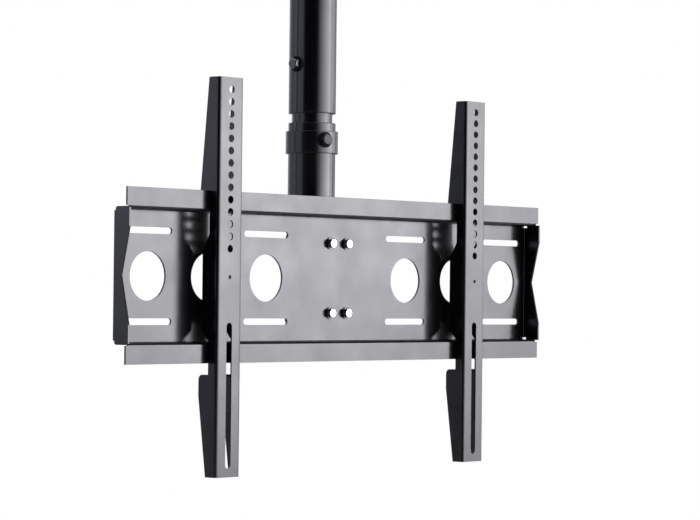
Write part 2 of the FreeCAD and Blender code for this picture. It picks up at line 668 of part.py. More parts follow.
def make_mounting_plate():
    """The folded mounting plate: recessed web, ledges, lips and V-notched end wings."""
    thick = size("sheet")
    bend = size("plate_bend")
    depth = size("web_depth")
    web = size("web_half")
    rail = size("rail_half")
    half = size("plate_half")
    shoulder = half - size("relief")
    body = new_body("mounting_plate", y=WEB_Y, z=PLATE_Z)

    # Section of web, ledges and lips, drawn in the Y-Z plane and run along X
    sketch = new_sketch(body, "YZ_Plane")
    corners = [
        (-depth, -rail), (-depth, -web), (as_size(0), -web), (as_size(0), web), (-depth, web), (-depth, rail),
        (thick - depth, rail), (thick - depth, web + thick), (thick, web + thick),
        (thick, -(web + thick)), (thick - depth, -(web + thick)), (thick - depth, -rail),
    ]
    draw_polygon(sketch, corners)
    pad(body, sketch, shoulder * 2, both_sides=True)
    inside = [(0, web), (0, -web), (thick - depth, web + thick), (thick - depth, -(web + thick))]
    outside = [(thick, web + thick), (thick, -(web + thick)), (-depth, web), (-depth, -web)]
    round_edges(body, "X", inside, bend)
    round_edges(body, "X", outside, bend + thick)

    # The lips alone run on to the full width
    lip_start = web + bend + thick
    for up in (1, -1):
        sketch = new_sketch(body, "XZ_Plane", offset=depth)
        for side in (1, -1):
            draw_rectangle(sketch, shoulder * side, half * side, lip_start * up, rail * up)
        pad(body, sketch, thick, backwards=True)

    # End wings, bent forward from the web
    wing = lip_start - size("wing_gap")
    for side in (-1, 1):
        sketch = new_sketch(body, "XY_Plane")
        near, inner, outer = shoulder * side, (half - thick) * side, half * side
        front = -size("wing_depth")
        corners = [
            (outer, front), (inner, front), (inner, as_size(0)),
            (near, as_size(0)), (near, thick), (outer, thick),
        ]
        draw_polygon(sketch, corners)
        pad(body, sketch, wing * 2, both_sides=True)
        round_edges(body, "Z", [(inner, 0)], bend)
        round_edges(body, "Z", [(outer, thick)], bend + thick)

    # Corner reliefs, so that the wing bend ends short of the ledges
    relief_low = wing - size("relief_height")
    relief_high = wing + thick
    for up in (1, -1):
        sketch = new_sketch(body, "XZ_Plane", offset=-thick)
        for side in (1, -1):
            draw_rectangle(sketch, shoulder * side, (half + thick) * side, relief_low * up, relief_high * up)
        pocket(body, sketch, thick + size("relief"), both_sides=False, backwards=True)

    # The shallow V in the front edges of the wings
    sketch = new_sketch(body, "YZ_Plane")
    front = -size("wing_depth")
    notch = size("notch_depth")
    v_half = size("notch_half")
    past = front - CUT_PAST
    over = v_half * (1 + CUT_PAST / notch.value)
    draw_polygon(sketch, [(past, -over), (front + notch, as_size(0)), (past, over)])
    pocket(body, sketch)

    # Round windows, long slots and the four bolt holes
    sketch = new_sketch(body, "XZ_Plane")
    for side in (-1, 1):
        for step in range(3):
            place = size("window_first") + size("window_pitch") * step
            draw_circle(sketch, place * side, 0, size("window_diameter") / 2)
    for x, z in plate_bolt_places():
        draw_circle(sketch, x, z, size("bolt_shank") / 2 + size("hole_room"))
    pocket(body, sketch, thick * 4)
    sketch = new_sketch(body, "XZ_Plane")
    for side in (-1, 1):
        for step in (0, 2):
            place = size("window_first") + size("window_pitch") * step
            for up in (-1, 1):
                height = size("slot_rise") * up
                draw_slot(sketch, place * side, height, size("slot_length"), size("slot_width"))
    pocket(body, sketch, thick * 4)
    return body


def make_arm(label, side):
    """A screen arm: a folded channel hooked over the top lip, with a catch below the bottom lip."""
    thick = size("arm_sheet")
    half = size("arm_width") / 2
    inner = half - thick
    full = size("flange_full")
    body = new_body(label, size("arm_place") * side, ARM_Y, PLATE_Z)

    # Channel section, open to the rear
    sketch = new_sketch(body, "XY_Plane")
    zero = as_size(0)
    corners = [
        (-half, zero), (half, zero), (half, full), (inner, full),
        (inner, thick), (-inner, thick), (-inner, full), (-half, full),
    ]
    draw_polygon(sketch, corners)
    pad(body, sketch, size("arm_length"), both_sides=True)
    round_edges(body, "Z", [(inner, thick), (-inner, thick)], size("arm_bend"))
    round_edges(body, "Z", [(half, 0), (-half, 0)], size("arm_bend") + thick)

    # Rear edges of the two flanges, seen from the side: depth along Y, height along Z
    end = size("arm_length") / 2
    end_depth = size("flange_end")
    shallow = size("arm_stand") - size("seat_gap")
    hook_back = size("arm_stand") + size("sheet") + size("hook_room")
    deep = size("flange_deep")
    hook_top = size("rail_half") + size("seat_gap")
    hook_foot = size("rail_half") - size("hook_drop")
    deep_top = size("deep_top")
    deep_foot = -size("deep_bottom")
    catch_top = -size("catch_drop")
    catch_foot = catch_top - size("catch_height")
    past = full + thick
    sketch = new_sketch(body, "YZ_Plane")
    draw_polygon(sketch, [
        (end_depth, end), (full, hook_top), (past, hook_top), (past, end + thick), (end_depth, end + thick),
    ])
    draw_polygon(sketch, [
        (past, hook_foot), (hook_back, hook_foot), (hook_back, hook_top), (shallow, hook_top),
        (shallow, deep_top + size("deep_slope")), (deep, deep_top), (deep, deep_foot),
        (shallow, deep_foot - size("deep_slope_low")), (shallow, catch_top), (past, catch_top),
    ])
    draw_polygon(sketch, [
        (full, catch_foot), (end_depth, -end), (end_depth, -(end + thick)),
        (past, -(end + thick)), (past, catch_foot),
    ])
    pocket(body, sketch)
    round_edges(body, "X", [(full, catch_top), (full, hook_foot)], size("catch_corner"))

    # Lip bent inwards across the channel at the top of the catch
    sketch = new_sketch(body, "XY_Plane", offset=catch_top - thick)
    back = full - size("catch_corner")
    front = back - size("catch_lip_depth")
    draw_rectangle(sketch, -inner - thick / 2, inner - thick / 2, front, back)
    pad(body, sketch, thick)

    # Screen bolt holes, the small hole and the long slot in the face
    sketch = new_sketch(body, "XZ_Plane")
    draw_circle(sketch, 0, size("screen_hole_first"), size("screen_hole") / 2)
    first = pocket(body, sketch, thick * 4)
    row = body.newObject("PartDesign::LinearPattern", f"{label}_hole_row")
    row.Originals = [first]
    row.Direction = ([item for item in body.Origin.OriginFeatures if item.Role == "Z_Axis"][0], [""])
    count = size("screen_hole_count")
    bind(row, "Length", size("screen_hole_pitch") * (int(count.value) - 1))
    bind(row, "Occurrences", count)
    body.Tip = row
    doc.recompute()
    sketch = new_sketch(body, "XZ_Plane")
    draw_circle(sketch, 0, 0, size("pin_hole") / 2)
    slot_middle = -(size("screen_slot_top") + size("screen_slot_length") / 2)
    draw_slot(sketch, 0, slot_middle, size("screen_slot_length"), size("screen_hole"), upright=True)
    pocket(body, sketch, thick * 4)
    return body


def make_plate_fasteners():
    """Bolts, flat washers and spring washers in front of the plate, nuts behind the bracket."""
    bolts, flats, springs, nuts = [], [], [], []
    bore = size("bolt_shank") / 2 + size("hole_room")
    washer_y = WEB_Y - size("plate_washer_thickness")
    spring_y = washer_y - size("spring_washer_thickness")
    nut_y = size("bracket_sheet") - size("bracket_reach")
    for number, (x, z) in enumerate(plate_bolt_places(), start=1):
        height = PLATE_Z + z
        turned = OUT_FRONT * Rotation(V(0, 0, 1), BOLT_TURNS[number - 1])
        flats.append(washer(f"flat_washer_{number}", size("plate_washer"), bore * 2,
                            size("plate_washer_thickness"), (x, WEB_Y, height), OUT_FRONT))
        springs.append(spring_washer(f"split_washer_{number}", size("spring_washer"), bore * 2,
                                     size("spring_washer_thickness"), (x, washer_y, height), OUT_FRONT))
        bolts.append(hex_bolt(f"bolt_{number}", size("plate_bolt_flats"), size("plate_bolt_head"),
                              size("bolt_shank"), size("plate_bolt_length"), (x, spring_y, height), turned))
        nuts.append(hex_nut(f"nut_{number}", size("plate_bolt_flats"), size("plate_bolt_nut"),
                            size("bolt_shank") + size("press_gap") * 2,
                            (x, nut_y + size("plate_bolt_nut"), height), turned))
    return [
        group("plate_bolts", bolts), group("plate_washers", flats),
        group("plate_spring_washers", springs), group("plate_nuts", nuts),
    ]


def make_cross_bolt(name, shank, flats, head, nut, height):
    """A bolt through both ears and the tube, with a washer at each end and a nut on the right."""
    seat = EAR_OUTER + size("seat_gap")
    head_seat = seat + size("tilt_washer_thickness")
    length = head_seat * 2 + nut + 2
    bore = shank + size("press_gap") * 2
    out_right = Rotation(V(0, 0, 1), V(1, 0, 0))
    outer = size("tilt_washer")
    thick = size("tilt_washer_thickness")
    return [
        hex_bolt(f"{name}_bolt", flats, head, shank, length, (-head_seat, 0, height), OUT_LEFT),
        washer(f"{name}_washer_left", outer, bore, thick, (-seat, 0, height), OUT_LEFT),
        washer(f"{name}_washer_right", outer, bore, thick, (seat, 0, height), out_right),
        hex_nut(f"{name}_nut", flats, nut, bore, (head_seat, 0, height), out_right),
    ]


def make_pieces():
    """Every sub-part of the mount, from the ceiling down."""
    return [
        make_ceiling_plate(),
        make_upper_tube(),
        make_guide_bush(),
        make_boss("height_lock_boss", TUBE_RADIUS, HEIGHT_LOCK_Z, OUT_LEFT),
        make_lock_bolt("height_lock_bolt", TUBE_RADIUS, HEIGHT_LOCK_Z, V(-1, 0, 0), OUT_LEFT),
        make_drop_tube(),
        make_glide_ring(),
        make_retaining_ring(),
        make_lower_tube(),
        make_swivel_bush(),
        make_collar(),
        make_boss("swivel_lock_boss", COLLAR_RADIUS, SWIVEL_LOCK_Z, OUT_SWIVEL),
        make_lock_bolt("swivel_lock_bolt", COLLAR_RADIUS, SWIVEL_LOCK_Z, SWIVEL_LOCK_WAY, OUT_SWIVEL),
        *make_cross_bolt("tilt_pivot", size("pivot_bolt"), size("pivot_flats"), size("pivot_head"),
                         size("pivot_nut"), PIVOT_Z),
        *make_cross_bolt("tilt_lock", size("tilt_bolt"), size("bolt_flats"), size("bolt_head"),
                         size("bolt_nut"), TILT_LOCK_Z),
        make_tilt_bracket(),
        make_mounting_plate(),
        *make_plate_fasteners(),
        make_arm("left_arm", -1),
        make_arm("right_arm", 1),
    ]


def write_pieces(pieces):
    """Check the whole document, then write each sub-part to its own file."""
    doc.recompute()
    for item in doc.Objects:
        if "Invalid" in item.State or "Error" in item.State:
            raise RuntimeError(f"{item.Label} failed: {item.State}")
    for piece in pieces:
        if piece.Shape.isNull() or not piece.Shape.isValid():
            raise RuntimeError(f"{piece.Label} has no sound shape")
    os.makedirs("parts", exist_ok=True)
    for piece in pieces:
        piece.Shape.exportStep(f"parts/{piece.Label}.step")
        solids = len(piece.Shape.Solids)
        print(f"{piece.Label}: {solids} solid, {piece.Shape.Volume / 1000:.2f} cm3")


write_pieces(make_pieces())
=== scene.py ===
# %% [markdown]
# # A television ceiling mount
#
# The mount is nearly all sheet steel and tube, bent and drilled, with one coat of black powder paint.
# Its true shapes come from the CAD model. This lesson gives it its looks: the paint, the plated bolts,
# the screw threads and the welds, and then the light and the camera of a product photograph.

import json
import math

import bpy
import numpy as np
from mathutils import Matrix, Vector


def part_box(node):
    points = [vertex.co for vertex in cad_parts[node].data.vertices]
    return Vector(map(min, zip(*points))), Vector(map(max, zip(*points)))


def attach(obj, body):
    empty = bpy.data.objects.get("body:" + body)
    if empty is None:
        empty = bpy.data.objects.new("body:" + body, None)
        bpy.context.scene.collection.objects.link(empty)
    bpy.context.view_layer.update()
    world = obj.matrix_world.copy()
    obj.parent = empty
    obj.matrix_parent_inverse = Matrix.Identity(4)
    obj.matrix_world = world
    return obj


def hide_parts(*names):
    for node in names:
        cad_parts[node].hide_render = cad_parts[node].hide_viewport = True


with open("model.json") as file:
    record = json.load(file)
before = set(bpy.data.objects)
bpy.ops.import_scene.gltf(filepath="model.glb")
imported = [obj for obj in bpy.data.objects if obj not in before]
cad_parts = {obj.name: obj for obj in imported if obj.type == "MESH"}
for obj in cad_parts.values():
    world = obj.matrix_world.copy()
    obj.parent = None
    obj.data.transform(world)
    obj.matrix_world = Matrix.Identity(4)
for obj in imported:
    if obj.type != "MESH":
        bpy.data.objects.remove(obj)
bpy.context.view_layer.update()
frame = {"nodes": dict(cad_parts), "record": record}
nodes = frame["nodes"]

# %% [markdown]
# ## Where things are
#
# Every piece of the lesson is placed from the CAD pieces it sits on, so that nothing floats when a size
# changes. A box round a CAD piece gives its middle, and the tube gives the axis of the pole, which runs
# straight down through the origin.

# %% Places read from the CAD pieces
MM = 0.001


def middle_of(node):
    """The middle of a CAD piece's box."""
    low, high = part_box(node)
    return (np.array(low) + np.array(high)) / 2


plate_middle = middle_of("mounting_plate")
tube_radius = (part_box("upper_tube")[1][0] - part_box("upper_tube")[0][0]) / 2
print("middle of the mounting plate:", plate_middle, "tube radius:", round(tube_radius, 5))

# %% [markdown]
# ## Small helpers for shader nodes
#
# A material in Blender is a little graph. Writing `add_node(tree, "Noise", Scale=40)` for each box of the
# graph keeps the recipes below short enough to read as sentences. Patterns read Object coordinates: each
# piece of this model keeps its place in its mesh, so one metre of pattern is one metre of steel.

# %% Shader helpers
def add_node(tree, kind, **values):
    """A shader node with its inputs set by name; spaces in an input's name are written as _."""
    made = tree.nodes.new(f"ShaderNode{kind}")
    for name, value in values.items():
        made.inputs[name.replace("_", " ")].default_value = value
    return made


def maths(tree, operation, *inputs, clamp=False):
    """One Math node; an input may be a number or another node's output."""
    made = tree.nodes.new("ShaderNodeMath")
    made.operation = operation
    made.use_clamp = clamp
    for index, value in enumerate(inputs):
        if isinstance(value, bpy.types.NodeSocket):
            tree.links.new(value, made.inputs[index])
        else:
            made.inputs[index].default_value = value
    return made.outputs[0]


def remap(tree, value, low, high, to_low, to_high, smooth=False):
    """Stretch a value from one range to another, held at both ends."""
    made = tree.nodes.new("ShaderNodeMapRange")
    made.interpolation_type = "SMOOTHSTEP" if smooth else "LINEAR"
    tree.links.new(value, made.inputs[0])
    for index, number in enumerate((low, high, to_low, to_high), start=1):
        made.inputs[index].default_value = number
    return made.outputs[0]


print("node helpers:", add_node.__name__, maths.__name__, remap.__name__)

# %% [markdown]
# Four more helpers make what every finish here is built from: cloudy noise, a blend of two colours, the
# empty material to start from, and bump, which tilts the shading as if the surface had small hills.

# %% Pattern helpers
def noise(tree, where, scale, detail=2.0, roughness=0.5):
    """Cloudy noise of about `scale` lumps a metre."""
    made = add_node(tree, "TexNoise", Scale=scale, Detail=detail, Roughness=roughness)
    tree.links.new(where, made.inputs["Vector"])
    return made.outputs["Factor" if "Factor" in made.outputs else "Fac"]


def blend_colours(tree, factor, first, second):
    """Mix two colours by a factor from 0 to 1; the first may be another node's output."""
    made = tree.nodes.new("ShaderNodeMix")
    made.data_type = "RGBA"
    tree.links.new(factor, made.inputs["Factor"])
    if isinstance(first, bpy.types.NodeSocket):
        tree.links.new(first, made.inputs["A"])
    else:
        made.inputs["A"].default_value = (*first, 1)
    made.inputs["B"].default_value = (*second, 1)
    return made.outputs["Result"]


def new_material(name):
    """A material with its shader and the Object coordinates ready to use."""
    made = bpy.data.materials.new(name)
    made.use_nodes = True
    tree = made.node_tree
    shader = tree.nodes["Principled BSDF"]
    where = tree.nodes.new("ShaderNodeTexCoord").outputs["Object"]
    return made, tree, shader, where


def bump(tree, height, distance, strength=1.0, under=None):
    """Turn a height pattern into a bumped surface direction."""
    made = add_node(tree, "Bump", Strength=strength, Distance=distance)
    tree.links.new(height, made.inputs["Height"])
    if under is not None:
        tree.links.new(under, made.inputs["Normal"])
    return made.outputs["Normal"]


print("pattern helpers:", noise.__name__, blend_colours.__name__, new_material.__name__, bump.__name__)

# %% [markdown]
# ## Surfaces from a grid
#
# The pieces that the CAD model leaves out, the screw threads and the weld, are surfaces worked out with
# numpy. Each is a grid of points: rows along the shape, columns round it. Joining each point to its
# neighbours gives the faces, and since only the numbering of the grid matters, one helper serves every
# shape. A tube closes round its columns and gets a cap at each end; a ring closes both ways.

# %% Grid helpers
def grid_faces(rows, columns, ring=False):
    """Four-cornered faces of a grid closed round its columns, and round its rows too for a ring."""
    row, column = np.meshgrid(np.arange(rows if ring else rows - 1), np.arange(columns), indexing="ij")
    next_row, next_column = (row + 1) % rows, (column + 1) % columns
    corners = [row * columns + column, row * columns + next_column,
               next_row * columns + next_column, next_row * columns + column]
    return np.stack([part.ravel() for part in corners], axis=1)


def mesh_from_grid(name, points, ring=False, flip=False, open_end=False, smooth=True):
    """An object from an array of rows x columns x 3 points; a grid that is no ring is capped at its ends."""
    rows, columns = points.shape[:2]
    faces = grid_faces(rows, columns, ring).tolist()
    if not ring:
        faces.append(list(range(columns))[::-1])
    if not ring and not open_end:
        faces.append(list(range((rows - 1) * columns, rows * columns)))
    if flip:
        faces = [face[::-1] for face in faces]
    mesh = bpy.data.meshes.new(name)
    mesh.from_pydata(points.reshape(-1, 3).tolist(), [], faces)
    mesh.polygons.foreach_set("use_smooth", np.full(len(mesh.polygons), smooth))
    mesh.validate()
    made = bpy.data.objects.new(name, mesh)
    bpy.context.scene.collection.objects.link(made)
    return made


print("a ring of 3 rows and 4 columns has", len(grid_faces(3, 4, ring=True)), "faces")

# %% [markdown]
# ## Black powder coat
#
# Powder paint is sprayed as dust and baked until it flows. It never flows quite flat: fine dimples about
# a millimetre apart, called orange peel, break up the reflections, over slower waves some centimetres
# long. It is also thinner on sharp edges. The recipe is a very dark, slightly blue base, a semi-gloss
# surface whose roughness drifts a little from place to place, and the two sizes of waves as bump. The
# Bevel node rounds every cut edge in the shading, as paint does on a sheared sheet.
# The ends of the tubes and of the collar are turned and broken more, so they get a coat of their own,
# which draws the dark line that rings each end in the photograph. The ceiling plate, which nobody sees
# closely, has the coarse dull kind of the same paint.

# %% Powder coat
COAT_DARK = (0.0017, 0.0018, 0.0022)
COAT_LIGHT = (0.0031, 0.0032, 0.0039)
COAT_CLOUDS, COAT_SPECKS = 22.0, 900.0
WAVES, WAVE_HEIGHT = 55.0, 0.06 * MM
DIMPLES, DIMPLE_HEIGHT = 1100.0, 0.006 * MM
SHEET_EDGE, TUBE_EDGE = 0.5 * MM, 1.7 * MM


def make_powder_coat(name, gloss_low, gloss_high, peel, edge, shine=0.5):
    """Semi-gloss powder paint. Height = fine dimples + slow waves; roughness drifts between two values."""
    made, tree, shader, where = new_material(name)
    cloud = noise(tree, where, COAT_CLOUDS, 3.0)
    speck = noise(tree, where, COAT_SPECKS, 1.0)
    shade = maths(tree, "MULTIPLY_ADD", speck, 0.35, maths(tree, "MULTIPLY", cloud, 0.65))
    tree.links.new(blend_colours(tree, shade, COAT_DARK, COAT_LIGHT), shader.inputs["Base Color"])
    tree.links.new(remap(tree, cloud, 0.3, 0.7, gloss_low, gloss_high), shader.inputs["Roughness"])
    round_edge = add_node(tree, "Bevel", Radius=edge)
    round_edge.samples = 4
    slow = bump(tree, noise(tree, where, WAVES, 1.0), WAVE_HEIGHT, 0.6, round_edge.outputs["Normal"])
    fine = bump(tree, noise(tree, where, DIMPLES, 2.0), peel, 1.0, slow)
    tree.links.new(fine, shader.inputs["Normal"])
    shader.inputs["IOR"].default_value = 1.5
    shader.inputs["Specular IOR Level"].default_value = shine
    return made


powder_coat = make_powder_coat("powder_coat", 0.19, 0.25, DIMPLE_HEIGHT, SHEET_EDGE)
tube_coat = make_powder_coat("tube_coat", 0.19, 0.25, DIMPLE_HEIGHT, TUBE_EDGE)
coarse_coat = make_powder_coat("coarse_coat", 0.55, 0.65, 0.02 * MM, SHEET_EDGE, shine=0.15)
print("made", powder_coat.name, tube_coat.name, "and", coarse_coat.name)

# %% [markdown]
# ## Blackened bolts
#
# The lock bolts and the bolts of the tilt joint are black too, but their finish is a thin chemical one:
# the steel shows through as a dull metal sheen, mottled where the oxide took unevenly. The flat bosses
# under the lock bolts are dull all over and stay dark where the tube beside them shines, so their recipe
# has hardly any gloss. The spring washers of the plate bolts are dark spring steel. The lock bolt of the
# upper tube is oiled, so it has the same colours with more gloss.

# %% Blackened steel
OXIDE_DARK, OXIDE_LIGHT = (0.010, 0.010, 0.011), (0.022, 0.022, 0.024)
DULL_DARK, DULL_LIGHT = (0.003, 0.003, 0.0035), (0.007, 0.007, 0.008)


def make_black_steel(name, gloss_low, gloss_high, shine=0.5):
    """Blackened steel: half metal, half oxide, with a mottled roughness between two values."""
    made, tree, shader, where = new_material(name)
    cloud = noise(tree, where, 260.0, 3.0)
    tree.links.new(blend_colours(tree, cloud, OXIDE_DARK, OXIDE_LIGHT), shader.inputs["Base Color"])
    tree.links.new(remap(tree, cloud, 0.3, 0.7, gloss_low, gloss_high), shader.inputs["Roughness"])
    tree.links.new(bump(tree, noise(tree, where, 2400.0, 2.0), 0.004 * MM), shader.inputs["Normal"])
    shader.inputs["Metallic"].default_value = 0.15
    shader.inputs["Specular IOR Level"].default_value = shine
    return made


def make_dull_black(name):
    """A dull dark face: almost no gloss, with a coarse even grain."""
    made, tree, shader, where = new_material(name)
    cloud = noise(tree, where, 700.0, 3.0)
    tree.links.new(blend_colours(tree, cloud, DULL_DARK, DULL_LIGHT), shader.inputs["Base Color"])
    tree.links.new(remap(tree, cloud, 0.3, 0.7, 0.55, 0.7), shader.inputs["Roughness"])
    tree.links.new(bump(tree, noise(tree, where, 2600.0, 2.0), 0.01 * MM), shader.inputs["Normal"])
    shader.inputs["Specular IOR Level"].default_value = 0.12
    return made


blackened_steel = make_black_steel("blackened_steel", 0.22, 0.34)
oiled_steel = make_black_steel("oiled_steel", 0.14, 0.20, shine=0.9)
dull_black = make_dull_black("dull_black")
print("made", blackened_steel.name, oiled_steel.name, "and", dull_black.name)

# %% [markdown]
# ## Bright bolts
#
# The four bolts in the middle of the plate are bright plated steel. Their heads carry faint rings from
# turning. All four are one CAD piece, so the rings are drawn once, about a corner of the bolt pattern:
# folding the plate's left half onto its right half, and its lower half onto its upper half, with the
# absolute value brings the four heads onto one. The flat washers under them are a darker steel with faces
# that still shine; a ring of painted shade darkens their outer rims, so that these hardly do.

# %% The bolt pattern
low_washer, high_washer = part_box("plate_washers")
WASHER_RADIUS = 7.5 * MM
bolt_across = (high_washer[0] - low_washer[0]) / 2 - WASHER_RADIUS
bolt_up = (high_washer[2] - low_washer[2]) / 2 - WASHER_RADIUS
bolt_level = (high_washer[2] + low_washer[2]) / 2
print("bolt pattern, half spacings in mm:", round(bolt_across / MM, 2), round(bolt_up / MM, 2))

# %% [markdown]
# With the pattern's spacings known, the recipe takes them as numbers, so that one function makes the
# bright plating of the heads, the greyer zinc of the hidden nuts, and the darker steel of the washers.

# %% Bright plating with turning rings
RING_PITCH, RING_HEIGHT = 0.45 * MM, 0.0012 * MM
# The next numbers draw painted shade on the washers' rims: where it begins and where it is full, counted in
# from the rim, and its dark colour.
RIM_SHADE_START, RIM_SHADE_END = 0.8 * MM, 0.45 * MM
RIM_PAINTED_SHADE = (0.012, 0.012, 0.013)


def make_bright_steel(name, colour, gloss_low, gloss_high, across, up, level, painted_shade_rim=None):
    """Plated steel. Rings: height is a sine of the distance from the nearest bolt's axis; a rim gets painted
    shade.
    """
    made, tree, shader, where = new_material(name)
    split = tree.nodes.new("ShaderNodeSeparateXYZ")
    tree.links.new(where, split.inputs[0])
    folded_x = maths(tree, "SUBTRACT", maths(tree, "ABSOLUTE", split.outputs[0]), across)
    folded_z = maths(tree, "SUBTRACT",
                     maths(tree, "ABSOLUTE", maths(tree, "SUBTRACT", split.outputs[2], level)), up)
    square = maths(tree, "MULTIPLY_ADD", folded_x, folded_x, maths(tree, "MULTIPLY", folded_z, folded_z))
    distance = maths(tree, "SQRT", square)
    rings = maths(tree, "SINE", maths(tree, "MULTIPLY", distance, 2 * math.pi / RING_PITCH))
    cloud = noise(tree, where, 500.0, 3.0)
    metal = blend_colours(tree, cloud, tuple(0.82 * channel for channel in colour), colour)
    # Painted shade: the base colour darkens to near black over a band just inside the given rim.
    if painted_shade_rim is not None:
        painted_shade_mask = remap(tree, distance, painted_shade_rim - RIM_SHADE_START, painted_shade_rim - RIM_SHADE_END, 0.0, 1.0)
        metal = blend_colours(tree, painted_shade_mask, metal, RIM_PAINTED_SHADE)
    tree.links.new(metal, shader.inputs["Base Color"])
    tree.links.new(remap(tree, cloud, 0.3, 0.7, gloss_low, gloss_high), shader.inputs["Roughness"])
    tree.links.new(bump(tree, rings, RING_HEIGHT), shader.inputs["Normal"])
    shader.inputs["Metallic"].default_value = 1.0
    return made


bright_plating = make_bright_steel("bright_plating", (0.80, 0.80, 0.82), 0.10, 0.18,
                                   bolt_across, bolt_up, bolt_level)
zinc_plating = make_bright_steel("zinc_plating", (0.56, 0.57, 0.60), 0.26, 0.38,
                                 bolt_across, bolt_up, bolt_level)
# The washers' plating carries painted shade on its rims.
washer_plating_painted_shade = make_bright_steel("washer_plating_painted_shade", (0.11, 0.11, 0.115), 0.24, 0.32,
                                   bolt_across, bolt_up, bolt_level, painted_shade_rim=WASHER_RADIUS)
print("made", bright_plating.name, zinc_plating.name, "and", washer_plating_painted_shade.name)

# %% [markdown]
# ## Black plastic
#
# The bushes and rings inside the pole are moulded in black nylon, matt and a little waxy. They hardly
# show, but the neck of the pole looks into them, so they get their own grain.

# %% Nylon
NYLON_DARK, NYLON_LIGHT = (0.012, 0.012, 0.013), (0.020, 0.020, 0.021)


def make_nylon(name):
    """Matt moulded nylon with a fine even grain."""
    made, tree, shader, where = new_material(name)
    cloud = noise(tree, where, 120.0, 2.0)
    tree.links.new(blend_colours(tree, cloud, NYLON_DARK, NYLON_LIGHT), shader.inputs["Base Color"])
    tree.links.new(remap(tree, cloud, 0.3, 0.7, 0.5, 0.62), shader.inputs["Roughness"])
    tree.links.new(bump(tree, noise(tree, where, 3000.0, 2.0), 0.008 * MM), shader.inputs["Normal"])
    return made


nylon = make_nylon("nylon")
print("made", nylon.name)

# %% [markdown]
# ## Dressing the CAD pieces
#
# The record of the CAD model says which finish each piece has. Reading it here keeps the drawing and the
# picture in step: a piece that changes its finish there changes it here. A few pieces have a variant of
# their finish, which is listed by name.

# %% Finishes onto pieces
finishes = {"black_coat": powder_coat, "black_bolt": blackened_steel, "bright_bolt": bright_plating,
            "zinc_steel": zinc_plating, "black_plastic": nylon}
own_finishes = {"upper_tube": tube_coat, "drop_tube": tube_coat, "lower_tube": tube_coat,
                "swivel_collar": tube_coat, "height_lock_boss": dull_black, "swivel_lock_boss": dull_black,
                "plate_washers": washer_plating_painted_shade, "plate_spring_washers": blackened_steel,
                "ceiling_plate": coarse_coat}
for part in frame["record"]["subparts"]:
    piece = nodes[part["node"]]
    piece.data.materials.clear()
    piece.data.materials.append(own_finishes.get(part["node"], finishes[part["material_slot"]]))

# %% [markdown]
# ## The height lock bolt, turned as it was tightened
#
# A bolt ends up turned by chance. In the photograph the lock bolt of the upper tube shows a flat of its
# hexagon to the front, which catches the strip light as one bright spot, while the CAD model has a corner
# there. So this bolt is made again with the same sizes, read from the CAD pieces, and turned by half a
# flat. It is a stack of rings along its axis, and the head is the lesser of a hexagon and a cone.

# %% Lock bolt
LOCK_FACE = 11.0 * MM
LOCK_SHANK = 8.0 * MM
LOCK_CONE_SLOPE = math.tan(math.radians(50))
LOCK_TIP_BEVEL = 0.1 * LOCK_SHANK


def lock_bolt_grid(flats, head, length, around=72):
    """Rings (reach, height) from the tip to the end face, as one grid of points along +Z.

    Hexagon: reach = half the flats / cos(angle from the nearest flat's middle). The side of the head ends
    where it meets the cone, at head - (reach - half the face) x slope.
    """
    angle = np.linspace(0, 2 * np.pi, around, endpoint=False)
    from_flat = (angle + np.pi / 6) % (np.pi / 3) - np.pi / 6
    side = flats / 2 / np.cos(from_flat)
    shoulder = head - (side - LOCK_FACE / 2) * LOCK_CONE_SLOPE
    one = np.ones(around)
    shank, face = LOCK_SHANK / 2 * one, LOCK_FACE / 2 * one
    reach = np.stack([shank - LOCK_TIP_BEVEL, shank, shank, side, side, face])
    height = np.stack([-length * one, (LOCK_TIP_BEVEL - length) * one, 0 * one, 0 * one, shoulder, head * one])
    return np.stack([reach * np.cos(angle), reach * np.sin(angle), height], axis=2)


print("the cone of the lock bolt's head falls", round(LOCK_CONE_SLOPE, 3), "mm in each mm outwards")

# %% [markdown]
# The bolt points along X, so the grid's height becomes the way out of the tube, towards -X. The boss that
# it is screwed down on gives its seat.

# %% The bolt in its place
bolt_low, bolt_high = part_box("height_lock_bolt")
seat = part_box("height_lock_boss")[0][0]
grid = lock_bolt_grid(bolt_high[2] - bolt_low[2], seat - bolt_low[0], bolt_high[0] - seat)
lock_level = (bolt_high[2] + bolt_low[2]) / 2
lock_points = np.stack([seat - grid[:, :, 2], -grid[:, :, 0], lock_level + grid[:, :, 1]], axis=2)
lock_bolt = mesh_from_grid("height_lock_bolt_turned", lock_points, smooth=False)
lock_bolt.data.materials.append(oiled_steel)
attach(lock_bolt, "ceiling")
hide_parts("height_lock_bolt")
print("lock bolt head:", round((seat - bolt_low[0]) / MM, 2), "mm high")

# %% [markdown]
# ## The weld under the ceiling plate
#
# The upper tube is welded to the ceiling plate all round. A hand weld is a row of small overlapping
# puddles, so its bead swells and narrows like a stack of coins leaning on each other. The bead is a ring:
# one parameter runs round the tube, the other round the bead's own section, which is three-cornered with
# a full face. The ripple only moves the face, so both feet of the bead stay on the steel.

# %% Weld bead
WELD_LEG = 5.5 * MM
WELD_BITE = 0.4 * MM
WELD_PUDDLES = 46
WELD_CROWN, WELD_RIPPLE, WELD_LEAN = 0.16, 0.07, 0.035


